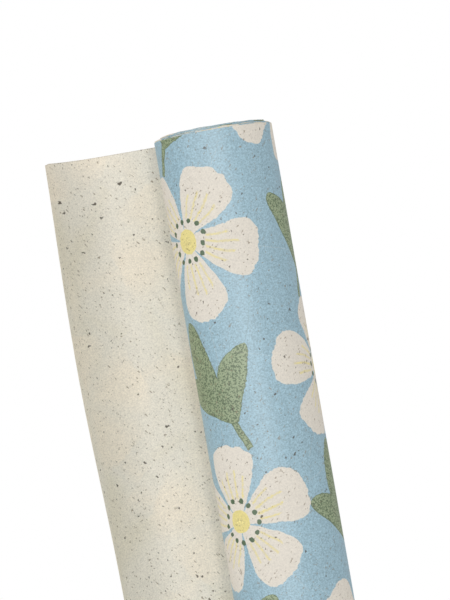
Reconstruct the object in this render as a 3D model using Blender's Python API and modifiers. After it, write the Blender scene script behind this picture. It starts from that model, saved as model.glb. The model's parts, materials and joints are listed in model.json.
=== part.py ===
"""Wrapping paper roll: a web of printed paper wound on a cardboard core.

The roll stands on its end, with its axis along +Z. The wound turns are three nested packs, the inner ones
pushed a little up out of the outer one. The last stretch of the web is the tail: it leaves the back of the
roll on its tangent, runs straight towards -X and curls forward at its free end. The tail is a chain of narrow
strips, each hinged to the one before it, so that it can lie flat or wrap round the roll. The origin is the
centre of the bottom of the whole object's box.
"""

import math

import bpy
from mathutils import Matrix, Vector

# Driving dimensions, in metres
WEB_WIDTH = 0.700  # the paper's width, so also the roll's length

CORE_BORE_RADIUS = 0.0175
CORE_WALL = 0.0015
INNER_PACK_WALL = 0.0014
MIDDLE_PACK_WALL = 0.0012
OUTER_PACK_WALL = 0.0011

GLUE_LINE_WIDTH = 0.003
GLUE_LINE_THICKNESS = 0.0002
GLUE_LINE_END_MARGIN = 0.010

INNER_PACK_RISE = 0.0016  # how far the inner turns and the core stand above the outer turns
MIDDLE_PACK_RISE = 0.0010

PAPER_THICKNESS = 0.0002
TAIL_STRIP_LENGTH = 0.0061  # along the web, hinge line to hinge line
STRAIGHT_STRIPS = 8
CURLED_STRIPS = 5

# Clearances, in metres
PACK_GAP = 0.0003
GLUE_GAP = 0.0002
STRIP_GAP = 0.0003
WRAP_CLEARANCE = 0.00016  # left between the middle of a strip and the roll when the tail is wrapped up

# Facets round a turned piece, and the angle from which its edges stay sharp
TURN_STEPS = 96
RIM_ANGLE = math.radians(40)

# Radii that follow from the values above
CORE_RADIUS = CORE_BORE_RADIUS + CORE_WALL
GLUE_LINE_RADIUS = CORE_RADIUS + GLUE_GAP
INNER_PACK_BORE = GLUE_LINE_RADIUS + GLUE_LINE_THICKNESS + PACK_GAP
INNER_PACK_RADIUS = INNER_PACK_BORE + INNER_PACK_WALL
MIDDLE_PACK_BORE = INNER_PACK_RADIUS + PACK_GAP
MIDDLE_PACK_RADIUS = MIDDLE_PACK_BORE + MIDDLE_PACK_WALL
OUTER_PACK_BORE = MIDDLE_PACK_RADIUS + PACK_GAP
ROLL_RADIUS = OUTER_PACK_BORE + OUTER_PACK_WALL


def hinge_circle_radius():
    """Radius of the circle that the strips' hinge lines lie on when the tail is wrapped round the roll."""
    apothem = ROLL_RADIUS + WRAP_CLEARANCE + PAPER_THICKNESS / 2
    return math.hypot(apothem, TAIL_STRIP_LENGTH / 2)


HINGE_RADIUS = hinge_circle_radius()
STRIP_TURN = 2 * math.asin(TAIL_STRIP_LENGTH / 2 / HINGE_RADIUS)  # one strip's share of that circle


def strip_bend(index):
    """Turn at the hinge of strip number index, counted from 0 at the roll, when the tail is at rest."""
    return STRIP_TURN if index >= STRAIGHT_STRIPS else 0.0


def hinge_points():
    """Hinge line of each strip and the free end, in the plane across the roll, from the roll's axis."""
    point = Vector((0.0, HINGE_RADIUS))
    points = [point.copy()]
    heading = math.pi
    for index in range(STRAIGHT_STRIPS + CURLED_STRIPS):
        heading += strip_bend(index)
        point += TAIL_STRIP_LENGTH * Vector((math.cos(heading), math.sin(heading)))
        points.append(point.copy())
    return points


def roll_axis():
    """Where the roll's axis stands so that the whole object's box is centred on the origin."""
    tail = hinge_points()
    left = min(point.x for point in tail)
    back = HINGE_RADIUS + PAPER_THICKNESS / 2
    return Vector((-(left + ROLL_RADIUS) / 2, (ROLL_RADIUS - back) / 2, 0.0))


def make_collection(name):
    """A new collection in the scene."""
    collection = bpy.data.collections.new(name)
    bpy.context.scene.collection.children.link(collection)
    return collection


def make_material(name, colour, roughness):
    """A Principled material for one kind of paper, board or glue."""
    material = bpy.data.materials.new(name)
    material.use_nodes = True
    shader = material.node_tree.nodes["Principled BSDF"]
    shader.inputs["Base Color"].default_value = (*colour, 1.0)
    shader.inputs["Roughness"].default_value = roughness
    shader.inputs["Metallic"].default_value = 0.0
    return material


def add_to_part(piece, collection, material):
    """Moves a finished object into the part's collection and gives it its material."""
    for holder in list(piece.users_collection):
        holder.objects.unlink(piece)
    collection.objects.link(piece)
    piece.data.materials.clear()
    piece.data.materials.append(material)


def make_tube(name, bore_radius, outer_radius, bottom, height):
    """A turned ring: a rectangular profile at +X swept once round Z."""
    top = bottom + height
    profile = [
        (outer_radius, 0.0, top),
        (outer_radius, 0.0, bottom),
        (bore_radius, 0.0, bottom),
        (bore_radius, 0.0, top),
    ]
    mesh = bpy.data.meshes.new(name)
    mesh.from_pydata(profile, [(0, 1), (1, 2), (2, 3), (3, 0)], [])
    tube = bpy.data.objects.new(name, mesh)
    bpy.context.scene.collection.objects.link(tube)
    turn = tube.modifiers.new("turn", "SCREW")
    turn.axis = "Z"
    turn.steps = TURN_STEPS
    turn.render_steps = TURN_STEPS
    turn.use_merge_vertices = True
    turn.merge_threshold = 0.00001
    turned = bpy.data.meshes.new_from_object(tube.evaluated_get(bpy.context.evaluated_depsgraph_get()))
    turned.shade_smooth()
    turned.set_sharp_from_angle(angle=RIM_ANGLE)
    turned.name = name
    tube.modifiers.clear()
    tube.data = turned
    bpy.data.meshes.remove(mesh)
    return tube


def make_box(name, size, centre):
    """A box of a given size whose centre stands off its object's origin."""
    bpy.ops.mesh.primitive_cube_add(size=1.0)
    box = bpy.context.object
    box.name = name
    box.data.name = name
    box.data.transform(Matrix.Translation(centre) @ Matrix.Diagonal((*size, 1.0)))
    return box


def make_core(collection, axis, material):
    """The spiral-wound cardboard tube that the web starts on."""
    core = make_tube("core_tube", CORE_BORE_RADIUS, CORE_RADIUS, INNER_PACK_RISE, WEB_WIDTH)
    core.location = axis
    add_to_part(core, collection, material)


def make_glue_line(collection, axis, material):
    """The thin line of glue that holds the web's first edge on the core."""
    size = (GLUE_LINE_THICKNESS, GLUE_LINE_WIDTH, WEB_WIDTH - 2 * GLUE_LINE_END_MARGIN)
    centre = Vector((GLUE_LINE_RADIUS + GLUE_LINE_THICKNESS / 2, 0.0, INNER_PACK_RISE + WEB_WIDTH / 2))
    glue = make_box("glue_line", size, centre)
    glue.location = axis
    add_to_part(glue, collection, material)


def make_packs(collection, axis, material):
    """The wound turns, as three nested packs that can slide in one another."""
    packs = [
        ("inner_turns", INNER_PACK_BORE, INNER_PACK_RADIUS, INNER_PACK_RISE),
        ("middle_turns", MIDDLE_PACK_BORE, MIDDLE_PACK_RADIUS, MIDDLE_PACK_RISE),
        ("outer_turns", OUTER_PACK_BORE, ROLL_RADIUS, 0.0),
    ]
    for name, bore_radius, outer_radius, rise in packs:
        pack = make_tube(name, bore_radius, outer_radius, rise, WEB_WIDTH)
        pack.location = axis
        add_to_part(pack, collection, material)


def make_tail(collection, axis, material):
    """The free end of the web: a chain of strips, each with its origin on its hinge line."""
    root = bpy.data.objects.new("tail_root", None)
    root.location = axis + Vector((0.0, HINGE_RADIUS, 0.0))
    root.rotation_euler.z = math.pi
    collection.objects.link(root)
    size = (TAIL_STRIP_LENGTH - STRIP_GAP, PAPER_THICKNESS, WEB_WIDTH)
    centre = Vector((TAIL_STRIP_LENGTH / 2, 0.0, WEB_WIDTH / 2))
    parent = root
    for index in range(STRAIGHT_STRIPS + CURLED_STRIPS):
        strip = make_box(f"tail_strip_{index + 1:02d}", size, centre)
        strip.parent = parent
        strip.location.x = 0.0 if parent is root else TAIL_STRIP_LENGTH
        strip.rotation_euler.z = strip_bend(index)
        add_to_part(strip, collection, material)
        parent = strip


def main():
    """Builds the whole part."""
    for old in list(bpy.data.objects):
        bpy.data.objects.remove(old)
    part = make_collection("wrapping_paper_roll")
    axis = roll_axis()
    paper = make_material("printed_paper", (0.43, 0.57, 0.64), 0.8)
    reverse = make_material("paper_tail", (0.72, 0.68, 0.57), 0.85)
    cardboard = make_material("cardboard", (0.42, 0.30, 0.19), 0.9)
    glue = make_material("glue", (0.75, 0.72, 0.62), 0.4)
    make_core(part, axis, cardboard)
    make_glue_line(part, axis, glue)
    make_packs(part, axis, paper)
    make_tail(part, axis, reverse)


main()
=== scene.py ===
"""Looks of the wrapping paper roll: one spiral of printed paper with a free tail, on a cardboard core.

All lengths are metres in the frame of the CAD model. Places on the flat web of paper are (along, down):
along runs round the roll towards the free end and is 0 at the front of the roll, and down runs from the top
edge. The print is drawn in millimetres of those two.
"""

import json
import math

import bpy
from mathutils import Matrix, Vector, noise


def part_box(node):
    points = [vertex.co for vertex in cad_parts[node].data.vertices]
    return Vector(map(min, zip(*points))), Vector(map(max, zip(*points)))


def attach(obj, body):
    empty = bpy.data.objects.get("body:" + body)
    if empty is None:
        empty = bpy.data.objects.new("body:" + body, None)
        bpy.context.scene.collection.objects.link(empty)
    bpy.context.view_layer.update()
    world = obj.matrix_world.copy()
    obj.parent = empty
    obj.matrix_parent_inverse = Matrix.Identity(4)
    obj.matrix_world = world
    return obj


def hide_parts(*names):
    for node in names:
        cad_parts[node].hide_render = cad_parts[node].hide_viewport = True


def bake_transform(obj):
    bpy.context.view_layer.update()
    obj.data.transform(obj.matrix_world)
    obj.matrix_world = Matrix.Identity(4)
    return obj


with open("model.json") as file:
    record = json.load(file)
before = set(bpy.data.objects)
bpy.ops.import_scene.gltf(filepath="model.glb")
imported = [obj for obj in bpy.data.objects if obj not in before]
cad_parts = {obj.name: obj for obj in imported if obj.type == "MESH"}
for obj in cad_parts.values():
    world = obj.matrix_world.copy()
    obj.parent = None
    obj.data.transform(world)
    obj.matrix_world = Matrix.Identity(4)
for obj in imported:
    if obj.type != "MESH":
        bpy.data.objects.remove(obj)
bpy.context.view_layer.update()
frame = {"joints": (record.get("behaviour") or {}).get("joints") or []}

# ---------------------------------------------------------------- sizes, read from the frame

OUTER_LOW, OUTER_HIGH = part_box("outer_turns")
AXIS = (Vector(OUTER_LOW) + Vector(OUTER_HIGH)) / 2
ROLL_RADIUS = (OUTER_HIGH[0] - OUTER_LOW[0]) / 2
WEB_WIDTH = OUTER_HIGH[2] - OUTER_LOW[2]
CORE_LOW, CORE_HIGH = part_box("core_tube")
CORE_RADIUS = (CORE_HIGH[0] - CORE_LOW[0]) / 2
CORE_WALL = 0.0015
INNER_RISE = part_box("inner_turns")[0][2] - OUTER_LOW[2]
MIDDLE_LOW, MIDDLE_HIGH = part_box("middle_turns")
MIDDLE_RADIUS = (MIDDLE_HIGH[0] - MIDDLE_LOW[0]) / 2
INNER_LOW, INNER_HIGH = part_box("inner_turns")
INNER_RADIUS = (INNER_HIGH[0] - INNER_LOW[0]) / 2

HINGES = [j for j in frame["joints"] if j["type"] == "hinge"]
STRIPS = len(HINGES)
STRAIGHT_STRIPS = sum(j["name"].startswith("tail_wrap") for j in HINGES)
HINGE_POINTS = [Vector((j["pos_m"][0], j["pos_m"][1], 0.0)) for j in HINGES]
PITCH = (HINGE_POINTS[1] - HINGE_POINTS[0]).length
TAIL_LENGTH = STRIPS * PITCH
HINGE_OFFSET = HINGE_POINTS[0].y - AXIS.y
HINGE_APOTHEM = math.sqrt(HINGE_OFFSET**2 - (PITCH / 2) ** 2)

# ---------------------------------------------------------------- paper

PAPER = 0.00013
TURNS = 22
TURN_PITCH = (ROLL_RADIUS - CORE_RADIUS - 0.0001) / TURNS
TAIL_INSET = 0.000175  # how far inside its hinge lines the tail runs, so that it can lie on the roll
LIFT_ANGLE = math.radians(40)  # the outer turn leaves the roll over this much of its last part
# Height of the edge above the outer turn's, as a share of the core's, at turns counted from the core
RISES = [
    (0, 1.0),
    (9.4, 0.97),
    (11.4, 0.58),
    (13, 0.45),
    (16, 0.42),
    (18.7, 0.3),
    (20.5, 0.08),
    (21, 0),
    (22, 0),
]
EDGE_WANDER = 0.0005  # unevenness of the wound edges, most at the core
WAVE_HEIGHT = 0.00012  # of the tail's faint waves, to either side of their mean
CORNER_DROP = 0.0006  # the tail's upper corner is worn down by this much
CORNER_LENGTH = 0.004
CORNER_START = 0.0075  # before the end of the tail


def smoothstep(share):
    """0 before 0, 1 after 1, and smooth between them."""
    share = min(1.0, max(0.0, share))
    return share * share * (3 - 2 * share)


# ---------------------------------------------------------------- shape of the web


def curl(down):
    """Curvature of the tail's free end, which changes a little down the roll, in 1/m."""
    ease = 0.13 * math.exp(-(((down - 0.084) / 0.070) ** 2)) + 0.04 * smoothstep((down - 0.2) / 0.2)
    return (1.0 - ease) / (HINGE_APOTHEM - TAIL_INSET)


def cut_length(down):
    """Length of the tail, whose free edge was cut by hand and so wanders."""
    short = 0.0036 - 0.0006 * smoothstep(down / 0.06) + 0.0030 * smoothstep((down - 0.08) / 0.1)
    return TAIL_LENGTH - short + 0.0040 * smoothstep((down - 0.22) / 0.3)


def tail_point(past_root, down):
    """Point and outward normal of the tail's printed face, past_root metres beyond the roll's back."""
    straight = (STRAIGHT_STRIPS - 0.5) * PITCH
    bent = max(0.0, past_root - straight)
    curvature = curl(down)
    turn = bent * curvature
    across = -min(past_root, straight) - math.sin(turn) / curvature
    forward = (1 - math.cos(turn)) / curvature
    worn = smoothstep((past_root - TAIL_LENGTH + CORNER_START) / CORNER_LENGTH)
    drop = CORNER_DROP * (1 - smoothstep(down / CORNER_LENGTH)) * worn
    wave = WAVE_HEIGHT * (1.0 + math.sin(9.0 * down + 30.0 * past_root)) * smoothstep(past_root / 0.02)
    face = HINGE_OFFSET - TAIL_INSET + PAPER / 2
    normal = Vector((-math.sin(turn), math.cos(turn), 0.0))
    point = Vector((AXIS.x + across, AXIS.y + face - forward, OUTER_HIGH[2] - down - drop))
    return point + normal * wave, normal


def spiral_radius(angle):
    """Radius of the printed face at an angle round the roll, which is 0 where the tail leaves it."""
    lift = (HINGE_OFFSET - TAIL_INSET + PAPER / 2 - ROLL_RADIUS) * smoothstep(1 + angle / LIFT_ANGLE)
    return ROLL_RADIUS + TURN_PITCH * angle / (2 * math.pi) + lift


def spiral_point(angle, down, rise):
    """Point and outward normal of the wound paper's printed face."""
    radius = spiral_radius(angle)
    facing = math.pi / 2 + angle
    normal = Vector((math.cos(facing), math.sin(facing), 0.0))
    return Vector((AXIS.x, AXIS.y, OUTER_HIGH[2] - down + rise)) + normal * radius, normal


def turn_rise(angle, own_rise):
    """How far the edge of the wound paper stands above the outer turn's edge."""
    turn = TURNS + angle / (2 * math.pi)
    rise = 0.0
    for (first, low), (last, high) in zip(RISES, RISES[1:]):
        if first <= turn <= last:
            rise = low + (high - low) * (turn - first) / (last - first)
    wander = noise.noise(Vector((angle * 0.9, 3.7, 1.1)))
    wander += 0.5 * noise.noise(Vector((angle * 3.1, 9.2, 4.6)))
    return max(0.0, own_rise * rise + EDGE_WANDER * wander * smoothstep(-angle / 4 - 1))


# ---------------------------------------------------------------- meshes


def grid_sheet(name, alongs, downs, surface, bands, blocks):
    """A thin closed sheet: printed face, reverse face and cut edges, each with a material slot.

    surface(i, down) gives the point and normal of column i. The UV map "sheet" holds the place on the flat
    web. The map "OFBake" is a layout for textures: it cuts the length into bands, and each block (side, first
    column, last column, width) takes its width of the map in every band. The cut edges have narrow strips.
    """
    columns, rows = len(alongs), len(downs)
    points, normals, flat = [], [], []
    for side in (0.0, PAPER):
        for i, along in enumerate(alongs):
            for down in downs:
                point, normal = surface(i, down)
                points.append(point - normal * side)
                normals.append(-normal if side else normal)
                flat.append((along, down))
    back = columns * rows

    def corner(i, k, side):
        return side * back + i * rows + k

    faces, slots, places = [], [], []

    def add_face(slot, corners, spots):
        faces.append([corner(*place) for place in corners])
        slots.append(slot)
        places.extend(spots)

    band_rows = (rows - 1) // bands
    left = 0.002
    for side, first, last, width in blocks:
        for band in range(bands):
            for i in range(first, last):
                for k in range(band * band_rows, (band + 1) * band_rows):
                    quad = [(i, k), (i, k + 1), (i + 1, k + 1), (i + 1, k)]
                    if side:
                        quad.reverse()
                    spots = []
                    for c, r in quad:
                        across = left + (width - 0.004) * (c - first) / (last - first)
                        spots.append((across, 0.004 + 0.992 * (r - band * band_rows) / band_rows))
                    add_face(side, [(c, r, side) for c, r in quad], spots)
            left += width
    for k, inward, low in ((0, 1, 0.962), (rows - 1, 0, 0.975)):
        for i in range(columns - 1):
            ends = (i, i + 1) if inward else (i + 1, i)
            quad = [(ends[0], k, 0), (ends[1], k, 0), (ends[1], k, 1), (ends[0], k, 1)]
            spots = [(low + 0.008 * side, c / (columns - 1)) for c, _, side in quad]
            add_face(2, quad, spots)
    for i, low in ((0, 0.988), (columns - 1, 0.994)):
        for k in range(rows - 1):
            ends = (k, k + 1) if i else (k + 1, k)
            quad = [(i, ends[1], 0), (i, ends[1], 1), (i, ends[0], 1), (i, ends[0], 0)]
            spots = [(low + 0.004 * side, r / (rows - 1)) for _, r, side in quad]
            add_face(2, quad, spots)
    mesh = bpy.data.meshes.new(name)
    mesh.from_pydata(points, [], faces)
    mesh.polygons.foreach_set("material_index", slots)
    layer = mesh.uv_layers.new(name="sheet")
    for loop in mesh.loops:
        layer.data[loop.index].uv = flat[loop.vertex_index]
    texture = mesh.uv_layers.new(name="OFBake")
    for loop in mesh.loops:
        texture.data[loop.index].uv = places[loop.index]
    mesh.shade_smooth()
    corner_normals = []
    for polygon, slot in zip(mesh.polygons, slots):
        for vertex in polygon.vertices:
            corner_normals.append(polygon.normal.copy() if slot == 2 else normals[vertex])
    mesh.normals_split_custom_set(corner_normals)
    piece = bpy.data.objects.new(name, mesh)
    bpy.context.scene.collection.objects.link(piece)
    return piece


def steps(first, last, count):
    """count + 1 even values from first to last."""
    return [first + (last - first) * i / count for i in range(count + 1)]


def wound_turns(name, first_turn, last_turn, per_turn):
    """The wound paper between two turns, counted from the core, and its length."""
    start = (first_turn - TURNS) * 2 * math.pi
    end = min((last_turn - TURNS) * 2 * math.pi, -PITCH / 2 / ROLL_RADIUS)
    count = round((end - start) / (2 * math.pi) * per_turn)
    angles = steps(start, end, count)
    along = math.pi * ROLL_RADIUS + end * ROLL_RADIUS
    alongs = [along]
    for before, after in zip(angles[-2::-1], angles[:0:-1]):
        along -= (after - before) * (spiral_radius(before) + spiral_radius(after)) / 2
        alongs.append(along)
    alongs.reverse()
    rises = [turn_rise(angle, INNER_RISE) for angle in angles]

    def surface(i, down):
        return spiral_point(angles[i], down, rises[i])

    # Only the last turn shows, so it takes the greater part of the layout
    shown = count - per_turn - 1
    blocks = [(0, shown, count, 0.37), (0, 0, shown, 0.06), (1, 0, count, 0.046)]
    piece = grid_sheet(name, alongs, steps(0.0, WEB_WIDTH, 2), surface, 2, blocks)
    return piece, alongs[-1] - alongs[0]


def tail_piece(index):
    """The part of the tail round one hinge, between the middles of two strips."""
    first = (index - 0.5) * PITCH
    last = TAIL_LENGTH if index == STRIPS - 1 else (index + 0.5) * PITCH
    reach = steps(first, last, 8 if index < STRIPS - 1 else 12)
    root = math.pi * ROLL_RADIUS
    downs = steps(0.0, WEB_WIDTH, 70)

    def surface(i, down):
        place = reach[i]
        if index == STRIPS - 1:
            place = first + (place - first) * (cut_length(down) - first) / (last - first)
        if place < 0:
            return spiral_point(place / ROLL_RADIUS, down, 0.0)
        return tail_point(place, down)

    alongs = [root + value for value in reach]
    count = len(reach) - 1
    blocks = [(0, 0, count, 0.0955), (1, 0, count, 0.0955)]
    return grid_sheet(f"tail_sheet_{index + 1:02d}", alongs, downs, surface, 5, blocks)


# ---------------------------------------------------------------- formulas in a node tree


class Term:
    """A value in a node tree, so that a pattern can be written as a formula."""

    def __init__(self, tree, socket):
        self.tree = tree
        self.socket = socket

    def __add__(self, other):
        return maths(self.tree, "ADD", self, other)

    def __radd__(self, other):
        return maths(self.tree, "ADD", other, self)

    def __sub__(self, other):
        return maths(self.tree, "SUBTRACT", self, other)

    def __rsub__(self, other):
        return maths(self.tree, "SUBTRACT", other, self)

    def __mul__(self, other):
        return maths(self.tree, "MULTIPLY", self, other)

    def __truediv__(self, other):
        return maths(self.tree, "DIVIDE", self, other)

    def __pow__(self, other):
        return maths(self.tree, "POWER", self, other)

    def __abs__(self):
        return maths(self.tree, "ABSOLUTE", self)


def plug(tree, socket, value):
    """Gives a socket a term, another socket or a plain value."""
    if isinstance(value, Term):
        value = value.socket
    if isinstance(value, bpy.types.NodeSocket):
        tree.links.new(value, socket)
    else:
        socket.default_value = value


def maths(tree, operation, *values, clamp=False):
    """One Math node."""
    node = tree.nodes.new("ShaderNodeMath")
    node.operation = operation
    node.use_clamp = clamp
    for socket, value in zip(node.inputs, values):
        plug(tree, socket, value)
    return Term(tree, node.outputs[0])


def inked(term, softness=0.16):
    """1 where a distance inside an outline, in millimetres, is positive, with a soft edge."""
    return maths(term.tree, "MULTIPLY_ADD", term, 1 / softness, 0.5, clamp=True)


def smaller(a, b):
    """The lesser of two values."""
    return maths(a.tree, "MINIMUM", a, b)


def larger(a, b):
    """The greater of two values."""
    return maths(a.tree, "MAXIMUM", a, b)


def blend_colours(tree, share, first, second, mode="MIX"):
    """A Mix node for colours."""
    node = tree.nodes.new("ShaderNodeMix")
    node.data_type = "RGBA"
    node.blend_type = mode
    node.clamp_factor = True
    plug(tree, node.inputs[0], share)
    plug(tree, node.inputs[6], first)
    plug(tree, node.inputs[7], second)
    return node.outputs[2]


def linear(red, green, blue):
    """A colour given in 0 to 255 screen values, as the shader wants it."""
    values = []
    for value in (red, green, blue):
        value /= 255
        values.append(value / 12.92 if value <= 0.04045 else ((value + 0.055) / 1.055) ** 2.4)
    return (*values, 1.0)


def vector(tree, x, y, z=0.0):
    """A Combine XYZ node."""
    node = tree.nodes.new("ShaderNodeCombineXYZ")
    for socket, value in zip(node.inputs, (x, y, z)):
        plug(tree, socket, value)
    return node.outputs[0]


def parts_of(tree, socket):
    """The x and y of a vector."""
    node = tree.nodes.new("ShaderNodeSeparateXYZ")
    tree.links.new(socket, node.inputs[0])
    return Term(tree, node.outputs[0]), Term(tree, node.outputs[1])


def sheet_place(tree):
    """Place on the flat web, in millimetres, as (along, down)."""
    uv = tree.nodes.new("ShaderNodeUVMap")
    uv.uv_map = "sheet"
    x, y = parts_of(tree, uv.outputs[0])
    return x * 1000.0, y * 1000.0


def cloud(tree, x, y, scale, detail=2.0, seed=0.0):
    """Smooth noise around 0, about -0.5 to 0.5, with features of about 1 / scale millimetres."""
    node = tree.nodes.new("ShaderNodeTexNoise")
    node.noise_dimensions = "3D"
    node.inputs["Scale"].default_value = scale
    node.inputs["Detail"].default_value = detail
    plug(tree, node.inputs["Vector"], vector(tree, x, y, seed))
    return Term(tree, node.outputs["Fac"]) - 0.5


def specks(tree, x, y, cell, largest, rarity, seed, aspect=1.0, angle=0.0):
    """Scattered specks or short fibres, one in some cells: 1 on a speck and 0 off it."""
    cos, sin = math.cos(angle), math.sin(angle)
    along = (x * cos + y * sin) / (cell * aspect)
    across = (y * cos - x * sin) / cell
    node = tree.nodes.new("ShaderNodeTexVoronoi")
    node.voronoi_dimensions = "3D"
    node.inputs["Scale"].default_value = 1.0
    plug(tree, node.inputs["Vector"], vector(tree, along, across, seed))
    chance, _ = parts_of(tree, node.outputs["Color"])
    size = maths(tree, "POWER", chance, rarity) * (largest / cell)
    inside = size - Term(tree, node.outputs["Distance"])
    return maths(tree, "MULTIPLY_ADD", inside, cell * 6.5, 0.3, clamp=True)


# ---------------------------------------------------------------- print

# The repeat, in millimetres along and down the web: blossoms in a half-drop, with a sprig in every gap
REPEAT = (112.0, 224.0)
# Blossoms: centre along and down, turn in degrees, and size
BLOSSOMS = [
    (-19.0, 42.0, 12.0, 1.0),
    (38.0, 99.0, 50.0, 0.95),
    (-17.0, 154.0, -20.0, 0.97),
    (37.0, 210.0, 80.0, 1.0),
]
# Sprigs: centre along and down, direction in degrees from straight up, and size
SPRIGS = [
    (38.0, 42.0, 14.0, 1.0),
    (-19.0, 99.0, -24.0, 0.98),
    (37.0, 155.0, -12.0, 1.0),
    (-18.0, 210.0, 20.0, 1.0),
]
# Leaves of a sprig that points up: base, tip, half width and sideways bow
SPRIG_LEAVES = [
    ((0.0, 12.0), (1.0, -28.0), 8.6, 3.0),
    ((0.0, 18.0), (-22.0, -9.0), 7.2, -4.0),
    ((0.0, 19.0), (22.0, -6.0), 7.2, 4.0),
]
SPRIG_STEM = (6.0, 30.0, 1.3)  # top, foot and half width

PETALS = 5
PETAL_LENGTH = 30.0
PETAL_HALF_WIDTH = 16.5
DISC_RADIUS = 4.8
DOTS = 13  # in a ring round the disc
DOT_RING = 7.6  # distance from the blossom's middle
DOT_SPREAD = 1.4
DOT_RADIUS = 1.05


def nearest(tree, x, y, places):
    """Offset from the nearest of several places of the repeat, and that place's turn and size."""
    best = None
    for along, down, turn, size in places:
        wrapped = []
        for value, centre, length in ((x, along, REPEAT[0]), (y, down, REPEAT[1])):
            wrapped.append(maths(tree, "WRAP", value - centre, length / 2, -length / 2))
        dx, dy = wrapped
        far = dx * dx + dy * dy
        if best is None:
            best = [far, dx, dy, turn, size]
            continue
        nearer = maths(tree, "LESS_THAN", far, best[0])
        chosen = [smaller(far, best[0])]
        for new, old in zip((dx, dy, turn, size), best[1:]):
            chosen.append(old + nearer * (new - old))
        best = chosen
    _, dx, dy, turn, size = best
    cos, sin = maths(tree, "COSINE", turn), maths(tree, "SINE", turn)
    return (dx * cos + dy * sin) / size, (dy * cos - dx * sin) / size, turn


def chances(tree, *seeds):
    """Two random values from 0 to 1 that stay the same for the same seeds."""
    node = tree.nodes.new("ShaderNodeTexWhiteNoise")
    node.noise_dimensions = "3D"
    plug(tree, node.inputs["Vector"], vector(tree, *seeds))
    return parts_of(tree, node.outputs["Color"])


def polar(tree, x, y, sectors):
    """(distance from 0, number of the sector, angle from the middle of the sector)."""
    place = (maths(tree, "ARCTAN2", y, x) + math.pi) * (sectors / (2 * math.pi))
    index = maths(tree, "FLOOR", place)
    return maths(tree, "SQRT", x * x + y * y), index, (place - index - 0.5) * (2 * math.pi / sectors)


def petals(tree, x, y, turn):
    """(inside the petals, on the fine lines at their feet) for a five-petal blossom centred on 0."""
    radius, index, angle = polar(tree, x, y, PETALS)
    along = radius * maths(tree, "COSINE", angle)
    across = abs(radius * maths(tree, "SINE", angle))
    longer, wider = chances(tree, index, 3.0, turn)
    frill = cloud(tree, x, y, 0.22, 1.0, 19.0) * 4.0
    share = maths(tree, "MULTIPLY", along / (frill + longer * 2.5 + PETAL_LENGTH), 1.0, clamp=True)
    width = share**0.9 * maths(tree, "SQRT", 1.0 - share**4.5) * (wider * 1.5 + PETAL_HALF_WIDTH)
    inside = smaller(width - across, along - 2.0)
    rank = across / (width + 0.01) * 2.5
    line = abs(maths(tree, "FRACT", rank) - 0.5) * width / 2.5
    ends = cloud(tree, x, y, 0.12, 1.0, 23.0) * 10.0
    reach = smaller(along - 9.0, ends - rank * 2.0 - along + 21.0)
    return inside, smaller(smaller(0.4 - line, reach), 2.0 - rank)


def middle(tree, x, y, turn):
    """(on a dot of the ring, in the yellow disc) for a blossom centred on 0."""
    radius, index, angle = polar(tree, x, y, DOTS)
    chance, _ = chances(tree, index, turn * 7.0, 1.0)
    side = angle * radius
    out = radius - DOT_RING - chance * DOT_SPREAD
    return DOT_RADIUS - maths(tree, "SQRT", side * side + out * out), DISC_RADIUS - radius


def lobe(tree, x, y, base, tip, width, bow):
    """Distance inside one pointed lobe, widest past its middle."""
    base, tip = Vector(base), Vector(tip)
    length = (tip - base).length
    way = (tip - base) / length
    dx, dy = x - base.x, y - base.y
    share = maths(tree, "MULTIPLY", (dx * way.x + dy * way.y), 1 / length, clamp=True)
    side = abs(dy * way.x - dx * way.y + share * (1.0 - share) * (bow * 4.0))
    return share**0.8 * maths(tree, "POWER", 1.0 - share, 0.6) * (width * 2.2) - side


def sprig(tree, x, y):
    """Distance inside a sprig of plain leaves centred on 0, pointing up, so towards smaller y."""
    top, foot, half_width = SPRIG_STEM
    inside = smaller(half_width - abs(x), smaller(y - top, foot - y))
    for base, tip, width, bow in SPRIG_LEAVES:
        inside = larger(inside, lobe(tree, x, y, base, tip, width, bow))
    return inside


BLUE = linear(148, 180, 194)
GREEN = linear(160, 176, 138)
DARK_GREEN = linear(50, 72, 40)
MARK_GREEN = linear(74, 98, 66)
PETAL = linear(223, 216, 204)
YELLOW = linear(228, 214, 140)
PAPER_EDGE = linear(226, 220, 204)


def in_radians(places):
    """Places of the repeat with their turns in radians."""
    return [(along, down, math.radians(turn), size) for along, down, turn, size in places]


def drawing(tree, x, y):
    """(inside the leaves, inside the petals, on their lines, place from the nearest blossom)."""
    sprig_x, sprig_y, _ = nearest(tree, x, y, in_radians(SPRIGS))
    blossom = nearest(tree, x, y, in_radians(BLOSSOMS))
    petal, line = petals(tree, *blossom)
    return sprig(tree, sprig_x, sprig_y), petal, line, blossom


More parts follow.
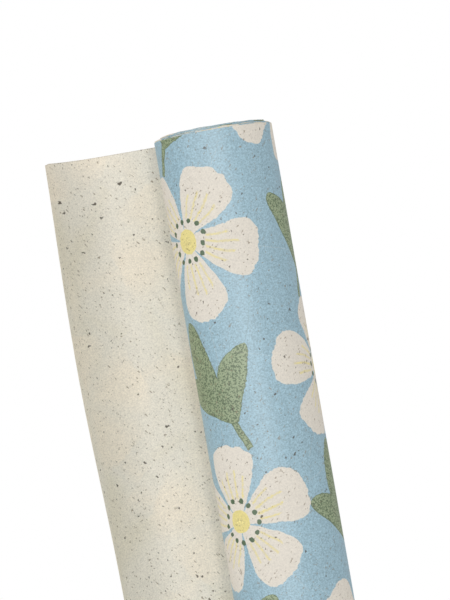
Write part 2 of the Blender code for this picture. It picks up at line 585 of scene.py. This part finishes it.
def print_colour(tree, x, y, grain):
    """(colour of the print, share of the surface that carries ink), worn along the two long edges."""
    wobble_x = cloud(tree, x, y, 0.07, 1.0, 3.0) * 3.0
    wobble_y = cloud(tree, x, y, 0.07, 1.0, 8.0) * 3.0
    jitter = cloud(tree, x, y, 0.8, 1.0, 5.0) * 0.8
    foliage, petal, line, blossom = drawing(tree, x + wobble_x + jitter, y + wobble_y + jitter)

    rim = inked(0.42 - foliage, 0.6)
    mottle = maths(tree, "MULTIPLY_ADD", grain, 9.0, 0.42, clamp=True)
    green = blend_colours(tree, larger(rim * 0.6, mottle * 0.85), GREEN, DARK_GREEN)
    colour = blend_colours(tree, inked(foliage), BLUE, green)
    on_petal = inked(petal)
    colour = blend_colours(tree, on_petal, colour, PETAL)
    colour = blend_colours(tree, inked(line, 0.6) * (grain * 2.0 + 0.72), colour, YELLOW)

    dots, disc = middle(tree, *blossom)
    colour = blend_colours(tree, inked(disc), colour, YELLOW)
    on_dots = inked(dots)
    colour = blend_colours(tree, on_dots, colour, MARK_GREEN)

    from_edge = smaller(y, WEB_WIDTH * 1000.0 - y)
    chipped = inked(cloud(tree, x, y, 0.5, 2.0, 47.0) * 1.2 - 0.06 - from_edge, 0.1)
    colour = blend_colours(tree, chipped, colour, PAPER_EDGE)
    return colour, larger(1.0 - on_petal, on_dots)


# ---------------------------------------------------------------- materials

FLECK_BROWN = linear(124, 106, 78)
FLECK_DARK = linear(60, 50, 34)


def new_material(name, roughness):
    """A material with its tree and Principled shader."""
    material = bpy.data.materials.new(name)
    material.use_nodes = True
    tree = material.node_tree
    shader = tree.nodes["Principled BSDF"]
    shader.inputs["Roughness"].default_value = roughness
    shader.inputs["Specular IOR Level"].default_value = 0.25
    return material, tree, shader


def add_flecks(tree, x, y, colour, seed):
    """Specks and short fibres of recycled paper over a colour."""
    ragged = cloud(tree, x, y, 1.1, 1.0, seed + 3.0) * 1.6
    x, y = x + ragged, y - ragged
    fine = specks(tree, x, y, 1.1, 0.36, 1.8, seed)
    fibres = specks(tree, x, y, 1.5, 0.30, 2.2, seed + 7.0, aspect=3.0, angle=0.6)
    crossing = specks(tree, x, y, 1.6, 0.30, 2.4, seed + 13.0, aspect=3.2, angle=2.2)
    dark = specks(tree, x, y, 2.4, 0.46, 2.3, seed + 17.0, aspect=1.3, angle=1.4)
    bold = specks(tree, x, y, 8.0, 0.85, 3.4, seed + 21.0, aspect=1.8, angle=0.3)
    colour = blend_colours(tree, fine * 0.65, colour, FLECK_BROWN)
    colour = blend_colours(tree, larger(fibres, crossing) * 0.65, colour, FLECK_BROWN)
    return blend_colours(tree, larger(dark, bold) * 0.85, colour, FLECK_DARK)


def add_bump(tree, shader, height, distance):
    """Bump from a height term."""
    bump = tree.nodes.new("ShaderNodeBump")
    bump.inputs["Strength"].default_value = 0.35
    bump.inputs["Distance"].default_value = distance
    plug(tree, bump.inputs["Height"], height)
    tree.links.new(bump.outputs[0], shader.inputs["Normal"])


def printed_material():
    """The printed side of the paper: satin ink on rough paper."""
    material, tree, shader = new_material("printed_side", 0.72)
    shader.inputs["Specular IOR Level"].default_value = 0.8
    x, y = sheet_place(tree)
    grain = cloud(tree, x, y, 1.7, 2.0, 2.0)
    colour, ink = print_colour(tree, x, y, grain)
    mottle = cloud(tree, x, y, 0.05, 3.0, 11.0)
    tone = 1.0 + grain * (ink * 0.8 + 0.4) + mottle * 0.08
    colour = blend_colours(tree, 1.0, colour, vector(tree, tone, tone, tone), "MULTIPLY")
    colour = add_flecks(tree, x, y, colour, 0.0)
    tree.links.new(colour, shader.inputs["Base Color"])
    plug(tree, shader.inputs["Roughness"], 0.86 - ink * 0.34 + grain * 0.1)
    add_bump(tree, shader, cloud(tree, x, y, 2.2, 3.0, 17.0), 0.00012)
    return material


def plain_material():
    """The unprinted side of the paper, with the print faintly showing through and painted shade along the cut
    edges.
    """
    material, tree, shader = new_material("plain_side", 0.85)
    x, y = sheet_place(tree)
    grain = cloud(tree, x, y, 1.7, 2.0, 31.0)
    patches = cloud(tree, x, y, 0.035, 3.0, 29.0)
    foliage, petal, _, _ = drawing(tree, x + patches * 12.0, y)
    from_edge = smaller(y, WEB_WIDTH * 1000.0 - y)
    # The last term is painted shade: a thin darker line within about 0.3 mm of both cut edges
    tone = 1.0 + grain * 0.6 + patches * 0.12 - inked(0.3 - from_edge, 0.2) * 0.18
    colour = blend_colours(tree, inked(foliage, 9.0), linear(235, 229, 215), linear(231, 224, 206))
    colour = blend_colours(tree, inked(petal, 12.0), colour, linear(242, 232, 214))
    colour = blend_colours(tree, 1.0, colour, vector(tree, tone, tone, tone), "MULTIPLY")
    colour = add_flecks(tree, x, y, colour, 40.0)
    tree.links.new(colour, shader.inputs["Base Color"])
    plug(tree, shader.inputs["Roughness"], 0.85 + grain * 0.1)
    add_bump(tree, shader, cloud(tree, x, y, 2.0, 3.0, 37.0), 0.00014)
    return material


def edge_material():
    """The cut edge of the paper."""
    material, tree, shader = new_material("cut_edge", 0.9)
    x, y = sheet_place(tree)
    grain = cloud(tree, x, y, 1.4, 2.0, 43.0)
    tone = 1.0 + grain * 0.35
    colour = blend_colours(tree, 1.0, PAPER_EDGE, vector(tree, tone, tone, tone), "MULTIPLY")
    tree.links.new(colour, shader.inputs["Base Color"])
    plug(tree, shader.inputs["Roughness"], 0.9 + grain * 0.1)
    return material


def cardboard_material():
    """Grey-brown board of the core, with fibres."""
    material, tree, shader = new_material("core_board", 0.88)
    coordinates = tree.nodes.new("ShaderNodeTexCoord")
    node = tree.nodes.new("ShaderNodeSeparateXYZ")
    tree.links.new(coordinates.outputs["Object"], node.inputs[0])
    x, y, z = (Term(tree, node.outputs[i]) * 1000.0 for i in range(3))
    fibre = tree.nodes.new("ShaderNodeTexNoise")
    fibre.inputs["Scale"].default_value = 1.0
    fibre.inputs["Detail"].default_value = 4.0
    plug(tree, fibre.inputs["Vector"], vector(tree, x * 1.6, y * 1.6, z * 0.35))
    grain = Term(tree, fibre.outputs["Fac"]) - 0.5
    colour = blend_colours(
        tree,
        maths(tree, "MULTIPLY_ADD", grain, 1.8, 0.5, clamp=True),
        linear(150, 124, 94),
        linear(190, 163, 128),
    )
    tree.links.new(colour, shader.inputs["Base Color"])
    plug(tree, shader.inputs["Roughness"], 0.88 + grain * 0.15)
    add_bump(tree, shader, grain, 0.0003)
    return material


def glue_material():
    """Dried clear glue."""
    material, _, shader = new_material("dried_glue", 0.35)
    shader.inputs["Base Color"].default_value = linear(226, 214, 178)
    return material


# ---------------------------------------------------------------- core


def core_piece():
    """Cardboard tube with a helical ply seam pressed into both faces."""
    turns, rows = 96, 140
    lead = 0.085
    seam = 0.0012
    bottom, top = CORE_LOW[2], CORE_HIGH[2]
    points, faces = [], []
    for side, radius in ((1, CORE_RADIUS), (-1, CORE_RADIUS - CORE_WALL)):
        for i in range(turns):
            angle = 2 * math.pi * i / turns
            for k in range(rows + 1):
                z = bottom + (top - bottom) * k / rows
                phase = ((z - bottom) / lead + angle / (2 * math.pi) + (0.5 if side < 0 else 0.0)) % 1.0
                groove = 0.00012 * max(0.0, 1 - abs(phase - 0.5) * lead / seam)
                if k in (0, rows):
                    groove += 0.00008
                r = radius - side * groove
                points.append((AXIS.x + r * math.cos(angle), AXIS.y + r * math.sin(angle), z))
    shell = turns * (rows + 1)
    for i in range(turns):
        j = (i + 1) % turns
        for k in range(rows):
            a, b = i * (rows + 1) + k, j * (rows + 1) + k
            faces.append((a, b, b + 1, a + 1))
            faces.append((a + shell, a + shell + 1, b + shell + 1, b + shell))
        low_a, low_b = i * (rows + 1), j * (rows + 1)
        faces.append((low_b, low_a, low_a + shell, low_b + shell))
        high_a, high_b = low_a + rows, low_b + rows
        faces.append((high_a, high_b, high_b + shell, high_a + shell))
    mesh = bpy.data.meshes.new("core")
    mesh.from_pydata(points, [], faces)
    mesh.shade_smooth()
    mesh.set_sharp_from_angle(angle=math.radians(50))
    piece = bpy.data.objects.new("core", mesh)
    bpy.context.scene.collection.objects.link(piece)
    return piece


def glue_piece():
    """A thin bead down the core, under the first edge of the web."""
    low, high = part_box("glue_line")
    half = (high[1] - low[1]) / 2 / CORE_RADIUS
    profile = []
    for i in range(9):
        angle = half * (i / 4 - 1)
        height = 0.00002 + 0.00006 * math.cos(angle / half * math.pi / 2)
        profile.append((angle, CORE_RADIUS + height))
    profile += [(angle, CORE_RADIUS + 0.00001) for angle, _ in reversed(profile)]
    count = len(profile)
    points, faces = [], []
    for z in (low[2], high[2]):
        for angle, radius in profile:
            points.append((AXIS.x + radius * math.cos(angle), AXIS.y + radius * math.sin(angle), z))
    for i in range(count):
        j = (i + 1) % count
        faces.append((i, j, j + count, i + count))
    faces.append(list(range(count))[::-1])
    faces.append(list(range(count, 2 * count)))
    mesh = bpy.data.meshes.new("glue_bead")
    mesh.from_pydata(points, [], faces)
    piece = bpy.data.objects.new("glue_bead", mesh)
    bpy.context.scene.collection.objects.link(piece)
    return piece


# ---------------------------------------------------------------- assembly


def dress(piece, body, slot, materials, *nodes):
    """Gives a piece its materials and its body, and hides the CAD nodes that it stands for."""
    for material in materials:
        piece.data.materials.append(material)
    if body:
        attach(piece, body)
    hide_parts(*nodes)


def build_roll(paper, tail):
    """The wound turns, core and glue. The turns and the tail are one sheet of paper; the tail given here is
    not used.
    """
    dress(core_piece(), "core_and_inner_wrap", "cardboard", [cardboard_material()], "core_tube")
    dress(glue_piece(), "core_and_inner_wrap", "glue", [glue_material()], "glue_line")
    inner_last = round((INNER_RADIUS - CORE_RADIUS) / TURN_PITCH)
    middle_last = round((MIDDLE_RADIUS - CORE_RADIUS) / TURN_PITCH)
    wraps = [
        ("inner", "core_and_inner_wrap", 0.6, inner_last, 64, "core", []),
        ("middle", "middle_wrap", inner_last + 0.02, middle_last, 72, "inner_wrap", []),
        ("outer", "outer_wrap", middle_last + 0.02, TURNS, 120, "middle_wrap", tail),
    ]
    for name, body, first_turn, last_turn, per_turn, inside, with_pieces in wraps:
        wrap, length = wound_turns(f"{name}_wrap", first_turn, last_turn, per_turn)
        dress(wrap, body, "printed_paper", paper, f"{name}_turns")


def middle_of_strip(index):
    """Middle of a strip's sheet, across the roll."""
    if index < 0:
        return spiral_point(-PITCH / 2 / ROLL_RADIUS, 0.0, 0.0)[0]
    return tail_point((index + 0.5) * PITCH, WEB_WIDTH / 2)[0]


def build_tail(paper):
    """The free end of the web, in one piece for each hinge."""
    pieces = []
    for index in range(STRIPS):
        piece = tail_piece(index)
        dress(piece, None, "printed_paper", paper, f"tail_strip_{index + 1:02d}")
        start, end = middle_of_strip(index - 1), middle_of_strip(index)
        start.z = end.z = 0.0
        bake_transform(piece)
        pieces.append(piece)
    return pieces


# ---------------------------------------------------------------- studio

# Light from all around, and lamps as (name, degrees to the right of the camera, distance, size, power)
AMBIENT = 0.60
LIGHTS = [
    ("front", 8.0, 1.9, 0.22, 5.2),
    ("left", -44.0, 1.6, 0.9, 7.2),
    ("right", 62.0, 1.6, 0.9, 3.0),
    ("sheen", -4.0, 1.9, 0.9, 16.0),
]

FLOOR_RADIUS = 0.9
FLOOR_DROP = 0.0003  # below the roll's end

CAMERA_DISTANCE = 1.02
CAMERA_BELOW_RIM = 0.0668
CAMERA_ASIDE = -0.00665
CAMERA_LENS = 152.4
CAMERA_ROLL = math.radians(-9.9)


def build_camera():
    """A long lens, level, beside the upper end of the roll and rolled so that the roll leans."""
    data = bpy.data.cameras.new("camera")
    data.lens = CAMERA_LENS
    data.sensor_width = 36.0
    data.clip_start = 0.05
    camera = bpy.data.objects.new("camera", data)
    bpy.context.scene.collection.objects.link(camera)
    camera.location = (AXIS.x + CAMERA_ASIDE, AXIS.y - CAMERA_DISTANCE, OUTER_HIGH[2] - CAMERA_BELOW_RIM)
    level = Matrix.Rotation(math.pi / 2, 4, "X")
    camera.rotation_euler = (level @ Matrix.Rotation(CAMERA_ROLL, 4, "Z")).to_euler()
    bpy.context.scene.camera = camera


def add_light(name, place, target, size, power):
    """A square soft light that faces a point. The one named sheen only shows in the gloss of the ink."""
    data = bpy.data.lights.new(name, "AREA")
    data.size = size
    data.energy = power
    light = bpy.data.objects.new(name, data)
    light.location = place
    light.rotation_euler = (Vector(target) - Vector(place)).to_track_quat("-Z", "Y").to_euler()
    light.visible_diffuse = name != "sheen"
    bpy.context.scene.collection.objects.link(light)


def build_studio():
    """Pale floor, white surroundings and soft light from the front."""
    place = (0, 0, -FLOOR_DROP)
    bpy.ops.mesh.primitive_circle_add(vertices=96, radius=FLOOR_RADIUS, fill_type="NGON", location=place)
    floor = bpy.context.object
    floor.name = "floor"
    material, tree, shader = new_material("floor", 0.9)
    shader.inputs["Base Color"].default_value = (0.86, 0.86, 0.85, 1.0)
    floor.data.materials.append(material)

    world = bpy.data.worlds.new("studio")
    bpy.context.scene.world = world
    world.use_nodes = True
    tree = world.node_tree
    background = tree.nodes["Background"]
    path = tree.nodes.new("ShaderNodeLightPath")
    strength = Term(tree, path.outputs["Is Camera Ray"]) * (1.0 - AMBIENT) + AMBIENT
    plug(tree, background.inputs["Strength"], strength)
    background.inputs["Color"].default_value = (1.0, 1.0, 1.0, 1.0)

    for name, azimuth, distance, size, power in LIGHTS:
        angle = math.radians(azimuth)
        target = Vector((AXIS.x, AXIS.y, OUTER_HIGH[2] * 0.85))
        place = target + distance * Vector((math.sin(angle), -math.cos(angle), 0.06))
        add_light(name, place, target, size, power)
    bpy.context.scene.view_settings.view_transform = "Standard"


paper_materials = [printed_material(), plain_material(), edge_material()]
build_roll(paper_materials, build_tail(paper_materials))
build_camera()
build_studio()
